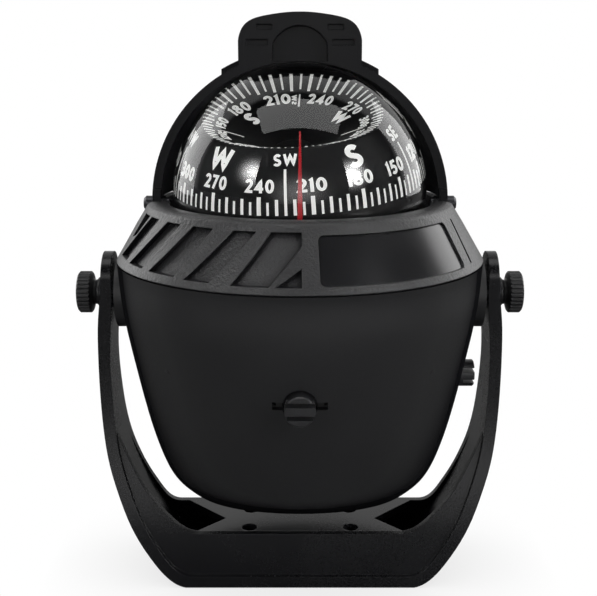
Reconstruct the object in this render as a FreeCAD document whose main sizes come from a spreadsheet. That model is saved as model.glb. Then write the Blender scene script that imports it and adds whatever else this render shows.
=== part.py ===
import FreeCAD, Part
import Sketcher
import math
import os

# Bracket-mounted, liquid-filled dome compass.
# Frame: origin at the centre of the bracket's underside, +Z up, the reading side
# faces -Y, +X to the right.  Millimetres.

Vector = FreeCAD.Vector
doc = FreeCAD.newDocument("BinnacleCompass")
sheet = doc.addObject("Spreadsheet::Sheet", "Dims")

# alias, value, note
DIMENSIONS = [
    ("dome_radius", 32.0, "outer radius of the clear dome"),
    ("dome_wall", 2.0, "dome wall thickness"),
    ("dome_level", 102.5, "height of the dome's centre"),
    ("dome_flange_r", 35.5, "dome flange radius"),
    ("tilt_level", 76.3, "height of the tilt axis"),
    ("boss_face", 47.0, "half distance over the side bosses"),
    ("boss_dia", 18.0, "side boss diameter"),
    ("arm_inner", 48.0, "half distance between the bracket arms at the axis"),
    ("arm_outer", 51.0, "half distance over the bracket arms at the axis"),
    ("strap_thick", 3.1, "bracket strap thickness"),
    ("stud_dia", 4.0, "clamp stud diameter"),
    ("stud_hole", 4.1, "stud clearance hole"),
    ("knob_dia", 10.8, "knob head diameter"),
    ("knob_face", 57.3, "half distance over the knob faces"),
    ("visor_level", 99.5, "height of the visor's hinge axis"),
    ("visor_outer", 37.0, "visor shell outer radius"),
    ("visor_inner", 35.2, "visor shell inner radius"),
    ("platform_level", 12.4, "top of the bracket's platform"),
    ("front_wall_level", 14.3, "top of the bracket's front wall"),
    ("mount_x", 27.2, "screw hole spacing, left to right"),
    ("mount_y", 11.0, "screw hole spacing, front to back"),
    ("mount_dia", 4.2, "screw hole diameter"),
    ("fa_level", 59.9, "height of the fore-aft compensator"),
    ("at_level", 54.3, "height of the athwart compensator"),
    ("comp_head_dia", 7.1, "compensator head diameter"),
    ("comp_hole_dia", 8.0, "compensator head recess diameter"),
    ("journal_dia", 6.4, "compensator journal diameter"),
    ("journal_bore", 6.5, "compensator journal bore"),
    ("rod_dia", 3.4, "compensator rod diameter"),
    ("rod_bore", 3.5, "compensator rod bore"),
    ("gimbal_level", 97.0, "height of the gimbal centre"),
    ("pin_dia", 1.6, "gimbal pin diameter"),
    ("pin_bore", 1.7, "gimbal pin bore"),
    ("card_level", 101.0, "height of the centre of the card's spherical band"),
    ("card_radius", 22.3, "outer radius of the card's spherical band"),
    ("card_wall", 0.8, "card wall thickness"),
    ("dial_rise", 14.1, "card rim's height above the card's centre"),
    ("dish_rise", 9.55, "inner edge of the funnel-shaped dial above the card's centre"),
    ("flange_top", 84.0, "top of the liquid chamber's flange"),
    ("bowl_floor", 71.0, "inner floor of the liquid chamber"),
    ("housing_wall", 2.0, "lower housing wall thickness"),
    ("lip_level", 85.7, "top edge of the lower housing"),
    ("screw_circle", 37.2, "clamp screw circle radius"),
    ("ear_circle", 41.4, "chamber ear screw circle radius"),
]
for row, (alias, value, note) in enumerate(DIMENSIONS, 1):
    sheet.set("A%d" % row, alias)
    sheet.set("B%d" % row, repr(value))
    sheet.set("C%d" % row, note)
    sheet.setAlias("B%d" % row, alias)
doc.recompute()
size = {alias: float(sheet.get(alias)) for alias, _, _ in DIMENSIONS}


class Length:
    """A length with its value and the sheet expression that gives it."""

    def __init__(self, value, expression=None):
        self.value = float(value)
        self.expression = expression or repr(self.value)

    def __add__(self, other):
        other = as_length(other)
        return Length(self.value + other.value, "(%s + %s)" % (self.expression, other.expression))

    def __sub__(self, other):
        other = as_length(other)
        return Length(self.value - other.value, "(%s - %s)" % (self.expression, other.expression))

    def __mul__(self, other):
        other = as_length(other)
        return Length(self.value * other.value, "(%s * %s)" % (self.expression, other.expression))


def as_length(number):
    return number if isinstance(number, Length) else Length(number)


def value_of(number):
    return as_length(number).value


def is_zero(number):
    return abs(value_of(number)) < 1e-9


def dim(alias):
    """The sheet dimension as a Length; size[alias] is its plain number."""
    return Length(size[alias], "Dims." + alias)


pieces = {}       # file name: object


def add_piece(name, obj):
    obj.Label = name
    pieces[name] = obj
    return obj


# ---------------------------------------------------------------- PartDesign helpers
def new_body(name):
    return doc.addObject("PartDesign::Body", name + "_body")


def piece_body(name):
    return add_piece(name, new_body(name))


def origin_feature(body, role):
    for candidate in body.Origin.OriginFeatures:
        if candidate.Role == role:
            return candidate
    raise RuntimeError(role)


def bind(obj, prop, number):
    if isinstance(number, Length):
        obj.setExpression(prop, number.expression)


def new_sketch(body, plane, tag, offset):
    """An empty sketch on the XY, XZ or YZ plane; the XZ plane's normal is -Y."""
    sketch = body.newObject("Sketcher::SketchObject", body.Name + "_" + tag)
    sketch.AttachmentSupport = [(origin_feature(body, plane + "_Plane"), "")]
    sketch.MapMode = "FlatFace"
    if not is_zero(offset):
        sketch.AttachmentOffset = FreeCAD.Placement(Vector(0, 0, value_of(offset)),
                                                    FreeCAD.Rotation())
        bind(sketch, ".AttachmentOffset.Base.z", offset)
    return sketch


def add_dimension(sketch, number, *reference):
    index = sketch.addConstraint(Sketcher.Constraint(*reference, value_of(number)))
    bind(sketch, "Constraints[%d]" % index, number)


def place_point(sketch, geometry, point, x, y):
    for number, kind, axis in ((x, "DistanceX", -2), (y, "DistanceY", -1)):
        if is_zero(number):
            sketch.addConstraint(Sketcher.Constraint("PointOnObject", geometry, point, axis))
        else:
            add_dimension(sketch, number, kind, -1, 1, geometry, point)


def polygon(body, plane, tag, points, offset=0.0):
    sketch = new_sketch(body, plane, tag, offset)
    count = len(points)
    corners = [Vector(value_of(x), value_of(y), 0) for x, y in points]
    for i in range(count):
        sketch.addGeometry(Part.LineSegment(corners[i], corners[(i + 1) % count]), False)
    for i in range(count):
        sketch.addConstraint(Sketcher.Constraint("Coincident", i, 2, (i + 1) % count, 1))
    for i, (x, y) in enumerate(points):
        place_point(sketch, i, 1, x, y)
    return sketch


def circles(body, plane, tag, items, offset=0.0):
    """A sketch of circles, each item being (x, y, radius)."""
    sketch = new_sketch(body, plane, tag, offset)
    for x, y, radius in items:
        centre = Vector(value_of(x), value_of(y), 0)
        circle = Part.Circle(centre, Vector(0, 0, 1), value_of(radius))
        index = sketch.addGeometry(circle, False)
        if is_zero(x) and is_zero(y):
            sketch.addConstraint(Sketcher.Constraint("Coincident", index, 3, -1, 1))
        else:
            place_point(sketch, index, 3, x, y)
        add_dimension(sketch, radius, "Radius", index)
    return sketch


def revolve(body, points, plane="XZ", axis="V_Axis"):
    profile = polygon(body, plane, "profile", points)
    revolution = body.newObject("PartDesign::Revolution", profile.Name + "_rev")
    revolution.Profile = profile
    revolution.ReferenceAxis = (profile, [axis])
    revolution.Angle = 360.0
    doc.recompute()


def extrusion(body, kind, suffix, profile, length, reverse):
    item = body.newObject("PartDesign::" + kind, profile.Name + suffix)
    item.Profile = profile
    item.Length = value_of(length)
    bind(item, "Length", length)
    item.Reversed = reverse
    return item


def pad(body, profile, length, reverse=False):
    extrusion(body, "Pad", "_pad", profile, length, reverse)
    doc.recompute()


def pocket(body, profile, length, reverse=False, midplane=False):
    """Cuts a pocket and makes sure that it removes something."""
    doc.recompute()
    before = body.Shape.Volume
    item = extrusion(body, "Pocket", "_cut", profile, length, reverse)
    item.Midplane = midplane
    doc.recompute()
    if not item.Shape.Volume < before - 1e-6:
        raise RuntimeError("%s cuts nothing" % item.Name)
    return item


def lift(body, level):
    body.Placement = FreeCAD.Placement(Vector(0, 0, level.value), FreeCAD.Rotation())
    bind(body, ".Placement.Base.z", level)


def lathe_z(name, points):
    """A piece turned about Z from (radius, height) points."""
    revolve(piece_body(name), points)


def lathe_x(name, points, level):
    """A piece turned about the X line at level from (x, radius) points."""
    body = piece_body(name)
    revolve(body, points, axis="H_Axis")
    lift(body, level)


def add_shape(name, shape):
    solid = doc.addObject("Part::Feature", name + "_solid")
    solid.Shape = shape
    solid.Placement = FreeCAD.Placement()
    add_piece(name, solid)


# ---------------------------------------------------------------- shape helpers
def vectors(points):
    return [Vector(*p) for p in points]


def in_xz(points, side=1):
    """(x, z) points as 3D points at y = 0, mirrored in x where side is -1."""
    return [(side * x, 0, z) for x, z in points]


def spline(points):
    curve = Part.BSplineCurve()
    curve.interpolate(vectors(points))
    return curve.toShape()


def polyline(points):
    return Part.makePolygon(vectors(points))


def line(start, end):
    return Part.makeLine(Vector(*start), Vector(*end))


def box(x0, y0, z0, x1, y1, z1):
    return Part.makeBox(x1 - x0, y1 - y0, z1 - z0, Vector(x0, y0, z0))


def cylinder(radius, start, direction, length):
    return Part.makeCylinder(radius, length, Vector(*start), Vector(*direction))


def side_cylinder(side, radius, start, length, level):
    """A cylinder running outwards from x = side * start, at y = 0."""
    return cylinder(radius, (side * start, 0, level), (side, 0, 0), length)


def prism(points, direction):
    return Part.Face(polyline(points + points[:1])).extrude(Vector(*direction))


def slab(face, start, direction):
    """The face moved by start, then extruded."""
    face.translate(Vector(*start))
    return face.extrude(Vector(*direction))


def fuse_pair(make):
    return make(1).fuse(make(-1))


def compound_pair(make):
    return Part.makeCompound([make(1), make(-1)])


def directions(angles):
    return [(math.cos(math.radians(a)), math.sin(math.radians(a))) for a in angles]


def ring_of(rays, circle, radius):
    """(x, y, radius) of equal circles along the rays."""
    return [(circle * x, circle * y, radius) for x, y in rays]


DIAGONALS = directions((45, 135, 225, 315))
SIX_RAYS = directions((0, 60, 120, 180, 240, 300))

# Plain heights end in _z, their bound lengths in _level.
tilt_z = size["tilt_level"]
flange_z = size["flange_top"]
floor_z = size["bowl_floor"]
dome_z = size["dome_level"]
visor_z = size["visor_level"]
gimbal_z = size["gimbal_level"]
card_z = size["card_level"]
tilt_level = dim("tilt_level")
flange_level = dim("flange_top")
floor_level = dim("bowl_floor")
under_floor_level = floor_level - 2.0
gimbal_level = dim("gimbal_level")
fore_aft_level = dim("fa_level")
athwart_level = dim("at_level")
ear_circle = dim("ear_circle")
dome_radius = dim("dome_radius")

# ================================================================ bracket
strap = size["strap_thick"]
# outer line of one arm, from the flat foot up to the arm's top: x, z
ARM = [
    (30.0, 0.0), (32.4, 0.9), (35.3, 3.3), (38.7, 7.7), (41.5, 12.1),
    (43.9, 16.6), (47.1, 24.6), (49.6, 32.7), (51.0, 40.9), (51.7, 49.2),
    (52.0, 61.9), (51.7, 70.0), (51.0, 76.3), (50.6, 82.0), (50.5, 87.0),
]
ARM_TOP = ARM[-1][1]
# side view of the bracket: half depth, height
SIDE = [
    (15.5, 0.0), (15.4, 4.0), (14.6, 14.0), (12.6, 24.0), (10.2, 34.0),
    (8.2, 44.0), (7.0, 54.0), (6.4, 65.0), (6.3, 80.5),
]
# top edges of the front and rear walls, from the arm inwards: x, z
FRONT_EDGE = [
    (48.2, 41.6), (46.1, 36.2), (44.2, 32.4), (42.1, 28.4), (39.6, 24.5),
    (36.3, 20.7), (32.9, 17.4), (30.6, 15.6), (28.4, 14.6), (26.0, size["front_wall_level"]),
]
REAR_EDGE = [
    (48.4, 40.4), (46.0, 31.7), (44.8, 28.2), (43.5, 25.0), (41.8, 21.2),
    (40.2, 18.2), (38.7, 15.6), (36.8, 13.4), (34.0, size["platform_level"]),
]
# lower edge of both walls, from the middle out to the arm: x, z
WALL_FOOT = [(0, 0.5), (30, 0.5), (36.2, 5.2), (42.2, 14.5), (47.6, 27.5), (50.0, 41.0)]


def offset_in(points, distance):
    """Shifts each point of an upward line towards the middle, square to its neighbours."""
    shifted = []
    for i, (x, z) in enumerate(points):
        before = points[max(0, i - 1)]
        after = points[min(len(points) - 1, i + 1)]
        dx, dz = after[0] - before[0], after[1] - before[1]
        span = math.hypot(dx, dz)
        shifted.append((x - distance * dz / span, z + distance * dx / span))
    return shifted


arm_inside = offset_in(ARM, strap)
arm_inside[0] = (29.2, strap)
arm_inside[1] = (31.0, 3.9)
# the arm's inner face is flat and upright beside the boss
arm_inside = [(x, z) if z < 68 else (size["arm_inner"] + (0.35 if z < 73 else 0.0), z)
              for x, z in arm_inside]


def side_solid(inset, round_top):
    """The side view, drawn in by inset, extruded across the whole width."""
    points = [(max(y - inset, 0.5), z) for y, z in SIDE]
    top_y, top_z = points[-1]
    front = spline([(0, -y, z) for y, z in reversed(points)])
    rear = spline([(0, y, z) for y, z in points])
    if round_top:
        top = Part.Arc(Vector(0, top_y, top_z), Vector(0, 0, ARM_TOP),
                       Vector(0, -top_y, top_z)).toShape()
    else:
        top = line((0, top_y, top_z), (0, -top_y, top_z))
    foot = line((0, -points[0][0], 0), (0, points[0][0], 0))
    return slab(Part.Face(Part.Wire([front, foot, rear, top])), (-60, 0, 0), (120, 0, 0))


full_side = side_solid(0.0, True)


def half_strap(side):
    outer = spline(in_xz(ARM, side))
    inner = spline(in_xz(reversed(arm_inside), side))
    top = line(*in_xz([ARM[-1], arm_inside[-1]], side))
    foot = polyline(in_xz([arm_inside[0], (0, strap), (0, 0), ARM[0]], side))
    face = Part.Face(Part.Wire([outer, top, inner] + foot.Edges))
    return slab(face, (0, -20, 0), (0, 40, 0)).common(full_side)


# both walls lie 1.2 mm inside the strap's edges and are 1.9 mm thick
wall_shell = side_solid(1.2, False).cut(side_solid(3.1, False))


def wall(edge, start_y):
    """The wall under the edge line, within 25 mm of depth from start_y."""
    def half(side):
        rest = polyline(in_xz([edge[-1], (0, edge[-1][1])] + WALL_FOOT + [edge[0]], side))
        face = Part.Face(Part.Wire([spline(in_xz(edge, side))] + rest.Edges))
        return slab(face, (0, start_y, 0), (0, 25, 0)).common(wall_shell)
    return fuse_pair(half)


def half_envelope(side):
    """Everything inside one arm's outer line."""
    rest = polyline(in_xz([ARM[-1], (0, ARM_TOP), (0, 0), ARM[0]], side))
    face = Part.Face(Part.Wire([spline(in_xz(ARM, side))] + rest.Edges))
    return slab(face, (0, -20, 0), (0, 40, 0))


def make_bracket():
    both_arms = fuse_pair(half_strap)
    walls = wall(FRONT_EDGE, -25).fuse(wall(REAR_EDGE, 0)).common(fuse_pair(half_envelope))

    # platform with V-notched ends, carried on four screw tubes
    platform_z = size["platform_level"]
    plate = 2.2
    outline = [(-20.3, 0.0), (-28.3, -8.5), (-31.0, -14.0), (31.0, -14.0),
               (28.3, -8.5), (20.3, 0.0), (33.6, 14.0), (-33.6, 14.0)]
    platform = prism([(x, y, platform_z - plate) for x, y in outline], (0, 0, plate))
    shape = both_arms.fuse([walls, platform.common(side_solid(1.4, False))])
    half_x, half_y = size["mount_x"] / 2, size["mount_y"] / 2
    mounts = [(x, y) for x in (-half_x, half_x) for y in (-half_y, half_y)]
    for x, y in mounts:
        shape = shape.fuse(cylinder(4.2, (x, y, 1.0), (0, 0, 1), platform_z - 1.0 - 0.6))
    for x, y in mounts:
        shape = shape.cut(cylinder(size["mount_dia"] / 2, (x, y, -1), (0, 0, 1), 20))
    shape = shape.cut(cylinder(size["stud_hole"] / 2, (-60, 0, tilt_z), (1, 0, 0), 120))
    # spot faces for the clamp washers, outside, and the toothed washers, inside
    spot_radius = 4.7
    for side in (1, -1):
        shape = shape.cut(side_cylinder(side, spot_radius, size["arm_outer"], 4.0, tilt_z))
        shape = shape.cut(cylinder(spot_radius, (side * size["arm_inner"], 0, tilt_z),
                                   (-side, 0, 0), 2.0))
    return shape.removeSplitter()


add_shape("bracket", make_bracket())

# ================================================================ lower housing
housing_wall = size["housing_wall"]
lip_z = size["lip_level"]
# outside of the housing, which draws in to a narrow keel: half width, half depth, height
HOUSING = [
    (16.0, 5.0, 17.5), (21.0, 8.0, 18.0), (25.6, 12.5, 19.6), (28.9, 17.5, 22.0),
    (31.2, 22.5, 24.6), (33.1, 27.5, 27.2), (35.2, 33.3, 31.0), (37.5, 37.0, 37.0),
    (40.6, 40.6, 48.4), (43.0, 43.0, 59.6), (44.7, 44.7, 68.2), (46.0, 46.0, 77.5),
    (46.64, 46.64, lip_z),
]
# heights of the hollow's sections below the lip
HOLLOW_HEIGHTS = [19.7, 20.6, 22.0, 23.6, 25.4, 27.6, 31.0, 37.0, 48.4, 59.6, 68.2, 77.5]


def half_size_at(height, points):
    """Half size at a height, read off a line of (half size, height) points."""
    for (low, low_z), (high, high_z) in zip(points, points[1:]):
        if low_z <= height <= high_z:
            return low + (high - low) * (height - low_z) / (high_z - low_z)
    return points[-1][0]


def oval(half_width, half_depth, height):
    """A closed oval; its seam, at 50 degrees, is kept clear of every boss."""
    count = 32
    points = []
    for k in range(count):
        angle = math.radians(50.0 + 360.0 * k / count)
        points.append(Vector(half_width * math.cos(angle), half_depth * math.sin(angle), height))
    curve = Part.BSplineCurve()
    curve.interpolate(Points=points, PeriodicFlag=True)
    return Part.Wire([curve.toShape()])


def housing_shell():
    outside = Part.makeLoft([oval(*station) for station in HOUSING], True, False)
    inner_width = offset_in([(width, z) for width, _, z in HOUSING], housing_wall)
    inner_depth = offset_in([(depth, z) for _, depth, z in HOUSING], housing_wall)
    sections = [oval(half_size_at(z, inner_width), half_size_at(z, inner_depth), z)
                for z in HOLLOW_HEIGHTS]
    mouth = HOUSING[-1][0] - housing_wall
    sections += [oval(mouth, mouth, z) for z in (lip_z, lip_z + 3.0)]
    return outside.cut(Part.makeLoft(sections, True, False))


housing_bowl = doc.addObject("Part::Feature", "lower_housing_bowl")
housing_bowl.Shape = housing_shell()
body = piece_body("lower_housing")
body.BaseFeature = housing_bowl
doc.recompute()
# side bosses for the clamp studs, with inner bosses for the inserts
boss_root = 42.4
for side, tag in ((1, "r"), (-1, "l")):
    boss = [(0, tilt_level, dim("boss_dia") * 0.5)]
    pad(body, circles(body, "YZ", "boss_" + tag, boss, side * boss_root),
        dim("boss_face") - boss_root, reverse=(side < 0))
    pad(body, circles(body, "YZ", "inner_" + tag, [(0, tilt_level, 5.0)], side * 38.2),
        5.4, reverse=(side < 0))
# posts for the chamber's ear screws
pad(body, circles(body, "XY", "posts", ring_of(DIAGONALS, ear_circle, 2.7), 64.0), 17.5)
# bearing bosses of the compensators: plane, tag, start, level, radius, length, reversed
for plane, tag, start, level, radius, length, reverse in (
        ("XZ", "fa_front", 36.0, fore_aft_level, 5.5, 6.0, False),
        ("XZ", "fa_rear", -34.0, fore_aft_level, 4.0, 8.0, True),
        ("YZ", "at_right", 35.0, athwart_level, 5.5, 5.9, False),
        ("YZ", "at_left", -33.0, athwart_level, 4.0, 7.9, True)):
    pad(body, circles(body, plane, tag, [(0, level, radius)], start), length, reverse)
# bores for the inserts and the ear screws
for side, tag in ((1, "r"), (-1, "l")):
    pocket(body, circles(body, "YZ", "insert_" + tag, [(0, tilt_level, 3.5)], side * 48.0),
           12.0, reverse=(side < 0))
pocket(body, circles(body, "XY", "pilots", ring_of(DIAGONALS, ear_circle, 1.25), 81.5), 10.0)
# bores of the compensators: plane, tag, start, level, diameter, depth
for plane, tag, start, level, bore, depth in (
        ("XZ", "fa_head", 50.0, fore_aft_level, "comp_hole_dia", 11.0),
        ("XZ", "fa_journal", 45.0, fore_aft_level, "journal_bore", 12.0),
        ("XZ", "fa_end", -30.0, fore_aft_level, "rod_bore", 8.0),
        ("YZ", "at_head", 50.0, athwart_level, "comp_hole_dia", 11.8),
        ("YZ", "at_journal", 45.0, athwart_level, "journal_bore", 12.0),
        ("YZ", "at_end", -30.0, athwart_level, "rod_bore", 7.0)):
    pocket(body, circles(body, plane, tag, [(0, level, dim(bore) * 0.5)], start), depth)
# level slots beside the compensator heads
half_slot, half_gap = 6.25, 0.925
for plane, tag, level, depth in (("XZ", "fa_slot", fore_aft_level, 9.5),
                                 ("YZ", "at_slot", athwart_level, 11.2)):
    slot = [(-half_slot, level - half_gap), (half_slot, level - half_gap),
            (half_slot, level + half_gap), (-half_slot, level + half_gap)]
    pocket(body, polygon(body, plane, tag, slot, 50.0), depth)

# ================================================================ bezel ring
# ends of the ring's outer cone: radius, height
CONE_FOOT, CONE_TOP = (46.6, 86.1), (38.6, 99.7)
# sunk fins on the left of the cone, each as (azimuth, height) corners
FINS = [
    [(-73.5, 98.6), (-66.5, 98.6), (-71.0, 93.6), (-75.0, 92.8)],
    [(-64.5, 98.6), (-57.5, 98.6), (-67.0, 88.2), (-76.0, 88.2)],
    [(-51.5, 98.6), (-44.0, 98.6), (-54.0, 88.0), (-63.5, 88.0)],
    [(-38.0, 98.6), (-29.6, 98.6), (-38.6, 87.9), (-50.0, 87.9)],
    [(-22.0, 98.6), (-14.2, 98.6), (-26.2, 87.7), (-34.6, 87.7)],
    [(-9.3, 98.6), (0.5, 98.6), (0.5, 95.7), (-8.6, 87.6), (-19.4, 87.6)],
    [(0.5, 91.4), (0.5, 87.6), (-6.6, 87.6)],
]
# shallow slanting line to the right of the panel
SIDE_LINE = [(65.2, 98.0), (66.4, 98.0), (64.6, 88.0), (63.4, 88.0)]


def cone_radius(z):
    share = z - CONE_FOOT[1]
    return CONE_FOOT[0] + (CONE_TOP[0] - CONE_FOOT[0]) * share / (CONE_TOP[1] - CONE_FOOT[1])


def sink(shape, tool, most):
    """Cuts a recess and makes sure that it took no more than it should."""
    result = shape.cut(tool)
    lost = shape.Volume - result.Volume
    if not 0.5 < lost < most or not result.isValid():
        raise RuntimeError("recess removed %.1f" % lost)
    return result


def radial_wedge(points):
    """A wedge through the cone with the given (azimuth, height) corners; azimuth 0 is the
    front and positive azimuths are to the right."""
    wires = []
    for radius in (30.0, 56.0):
        corners = [(radius * math.sin(math.radians(a)), -radius * math.cos(math.radians(a)), z)
                   for a, z in points]
        wires.append(polyline(corners + corners[:1]))
    return Part.makeLoft(wires, True, True)


def subdivide(points, step=4.0):
    """Splits the outline's sides so that none spans more than step degrees."""
    result = []
    for (a0, z0), (a1, z1) in zip(points, points[1:] + points[:1]):
        count = max(1, int(math.ceil(abs(a1 - a0) / step)))
        result += [(a0 + (a1 - a0) * i / count, z0 + (z1 - z0) * i / count)
                   for i in range(count)]
    return result


def recess(shape, points, depth):
    """Sinks the outline into the cone by depth."""
    core = Part.makeCone(cone_radius(84.0) - depth, cone_radius(103.0) - depth, 19.0,
                         Vector(0, 0, 84.0))
    return sink(shape, radial_wedge(subdivide(points)).cut(core), 130.0)


def panel_tool(start, end, low, high, depth, corner):
    """A sunk panel between two azimuths and two heights, with rounded corners."""
    section = Part.Face(polyline(in_xz([
        (cone_radius(low) - depth, low), (cone_radius(low) + 4.0, low),
        (cone_radius(high) + 4.0, high), (cone_radius(high) - depth, high),
        (cone_radius(low) - depth, low)])))
    section.rotate(Vector(0, 0, 0), Vector(0, 0, 1), start - 90.0)
    tool = section.revolve(Vector(0, 0, 0), Vector(0, 0, 1), end - start)
    slanting = [e for e in tool.Edges
                if e.Curve.TypeId == "Part::GeomLine" and abs(e.BoundBox.ZLength) < 1e-6]
    if len(slanting) != 4:
        raise RuntimeError("panel corners %d" % len(slanting))
    return tool.makeFillet(corner, slanting)


def make_bezel():
    blank = new_body("bezel_ring")
    lip = dim("lip_level") + 0.05
    revolve(blank, [
        (43.5, 83.0), (44.4, 83.0), (44.4, lip), (45.95, lip), (45.95, 86.1), CONE_FOOT, CONE_TOP,
        (38.3, 100.1), (37.8, 100.4), (37.1, 100.6), (36.2, 100.7), (34.0, 100.62), (33.4, 100.3),
        (dome_radius + 1.0, 99.8), (dome_radius + 1.0, 94.6), (37.9, 94.6), (42.9, 86.1)])
    shape = blank.Shape.copy()
    for fin in FINS:
        shape = recess(shape, fin, 1.4)
    panel = panel_tool(start=5.6, end=58.6, low=87.7, high=98.0, depth=0.6, corner=1.3)
    shape = sink(shape, panel, 420.0)
    shape = recess(shape, SIDE_LINE, 0.4)
    # notches for the visor's hinge discs, and their pin bores
    for side in (1, -1):
        shape = shape.cut(side_cylinder(side, 5.5, 34.65, 14.0, visor_z))
        shape = shape.cut(side_cylinder(side, 1.5, 30.0, 12.0, visor_z))
    # the spigot is relieved round the side bosses and the ear screws
    for side in (1, -1):
        shape = shape.cut(side_cylinder(side, 9.3, 40.0, 5.5, tilt_z))
    for x, y, radius in ring_of(DIAGONALS, size["ear_circle"], 2.5):
        shape = shape.cut(cylinder(radius, (x, y, 82.0), (0, 0, 1), 3.8))
    return shape


add_shape("bezel_ring", make_bezel())

# ================================================================ dome
dome_level = dim("dome_level")
dome_inside = dome_radius - dim("dome_wall")
gasket_top = flange_level + 1.0


def dome_part(kind, name, radius, base, height=None):
    part = doc.addObject("Part::" + kind, name)
    bind(part, "Radius", radius)
    if height is not None:
        bind(part, "Height", height)
    bind(part, ".Placement.Base.z", base)
    return part


ball_top = dome_part("Sphere", "dome_ball", dome_radius, dome_level)
ball_top.Angle1, ball_top.Angle2 = 0.0, 90.0
skirt = dome_part("Cylinder", "dome_skirt", dome_radius, gasket_top,
                  dome_level - flange_level - 1.0)
flange = dome_part("Cylinder", "dome_flange", dim("dome_flange_r"), gasket_top, as_length(2.5))
hollow_ball = dome_part("Sphere", "dome_hollow", dome_inside, dome_level)
hollow_bore = dome_part("Cylinder", "dome_bore", dome_inside, flange_level,
                        dome_level - flange_level)
dome_solid = doc.addObject("Part::MultiFuse", "dome_solid")
dome_solid.Shapes = [ball_top, skirt, flange]
dome_void = doc.addObject("Part::MultiFuse", "dome_void")
dome_void.Shapes = [hollow_ball, hollow_bore]
dome = doc.addObject("Part::Cut", "dome_cut")
dome.Base, dome.Tool = dome_solid, dome_void
add_piece("dome", dome)

# ================================================================ liquid chamber and its clamp
screw_circle = dim("screw_circle")
RETAINER_CIRCLE = 14.8      # radius of the retainer screws' circle
RETAINER_FOOT = 66.7        # underside of the retainer
PLUG_FOOT = 67.0            # underside of the fill plug
PORT_X = -20.5              # place of the fill port

lathe_z("dome_gasket", [(30.6, flange_level), (35.4, flange_level),
                        (35.4, gasket_top), (30.6, gasket_top)])

body = piece_body("chamber_bowl")
flange_under = flange_level - 2.5
revolve(body, [
    (30.0, flange_level), (39.2, flange_level), (39.2, flange_under), (32.0, flange_under),
    (31.0, 77.0), (27.8, 71.2), (25.5, under_floor_level), (10.0, under_floor_level),
    (10.0, floor_level), (24.3, floor_level), (26.2, 72.6), (28.9, 77.6), (30.0, 81.0)])
pad(body, circles(body, "XY", "ears", ring_of(DIAGONALS, ear_circle, 2.0), flange_under), 2.5)
# diagonal webs from the bowl's wall towards the ears
WEB = [(24.5, 27.3), (27.3, 24.5), (30.9, 28.1), (28.1, 30.9)]
for tag, sign_x, sign_y in (("a", 1, 1), ("b", -1, 1), ("c", -1, -1), ("d", 1, -1)):
    web = [(sign_x * x, sign_y * y) for x, y in WEB]
    pad(body, polygon(body, "XY", "webs_" + tag, web, flange_under), 2.5)
pocket(body, circles(body, "XY", "clamp_pilots", ring_of(SIX_RAYS, screw_circle, 0.9),
                     flange_level), 2.5)
pocket(body, circles(body, "XY", "ear_holes", ring_of(DIAGONALS, ear_circle, 1.3),
                     flange_level), 3.0)
pocket(body, circles(body, "XY", "retainer_pilots", ring_of(DIAGONALS, RETAINER_CIRCLE, 0.8),
                     under_floor_level), 1.4, reverse=True)
pocket(body, circles(body, "XY", "fill_port", [(PORT_X, 0, 2.0)], floor_level), 3.0)

body = piece_body("clamp_ring")
ring_bore = dome_radius + 0.4
revolve(body, [
    (ring_bore, flange_level + 3.5), (35.8, flange_level + 3.5), (35.8, flange_level + 0.05),
    (38.9, flange_level + 0.05), (38.9, flange_level + 6.0), (ring_bore, flange_level + 6.0)])
pocket(body, circles(body, "XY", "screw_holes", ring_of(SIX_RAYS, screw_circle, 1.0),
                     flange_level + 6.0), 8.0)


def screw(x, y, seat, shank_radius, length, head_radius, head_height, up):
    """Pan-head screw with a cross recess; the head stands on the seat's height."""
    shape = cylinder(shank_radius, (x, y, seat), (0, 0, -up), length)
    shape = shape.fuse(cylinder(head_radius, (x, y, seat), (0, 0, up), head_height))
    reach = head_radius * 0.62
    head_face = seat + up * head_height
    low, high = sorted((head_face, head_face - up * head_height * 0.55))
    for half_x, half_y in ((reach, 0.28), (0.28, reach)):
        shape = shape.cut(box(x - half_x, y - half_y, low, x + half_x, y + half_y, high))
    return shape


def add_screws(name, rays, circle, seat, shank_radius, length, head_radius, head_height, up=1):
    add_shape(name, Part.makeCompound([
        screw(circle * x, circle * y, seat, shank_radius, length, head_radius, head_height, up)
        for x, y in rays]))


add_screws("clamp_screws", SIX_RAYS, size["screw_circle"], seat=flange_z + 6.0,
           shank_radius=0.9, length=8.3, head_radius=1.6, head_height=1.2)
add_screws("capsule_screws", DIAGONALS, size["ear_circle"], seat=flange_z,
           shank_radius=1.25, length=11.5, head_radius=2.0, head_height=1.5)

lathe_z("diaphragm", [
    (0, 68.3), (3.0, 68.3), (5.0, 67.6), (7.0, 68.2), (13.0, 68.2),
    (13.0, 69.0), (6.9, 69.0), (5.0, 68.4), (3.2, 69.1), (0, 69.1)])

body = piece_body("diaphragm_retainer")
revolve(body, [
    (8.0, RETAINER_FOOT), (16.5, RETAINER_FOOT), (16.5, under_floor_level),
    (13.1, under_floor_level), (13.1, 68.15), (8.0, 68.15)])
pocket(body, circles(body, "XY", "holes", ring_of(DIAGONALS, RETAINER_CIRCLE, 0.9),
                     under_floor_level), 4.0)
add_screws("retainer_screws", DIAGONALS, RETAINER_CIRCLE, seat=RETAINER_FOOT,
           shank_radius=0.8, length=3.5, head_radius=1.5, head_height=1.0, up=-1)

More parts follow.
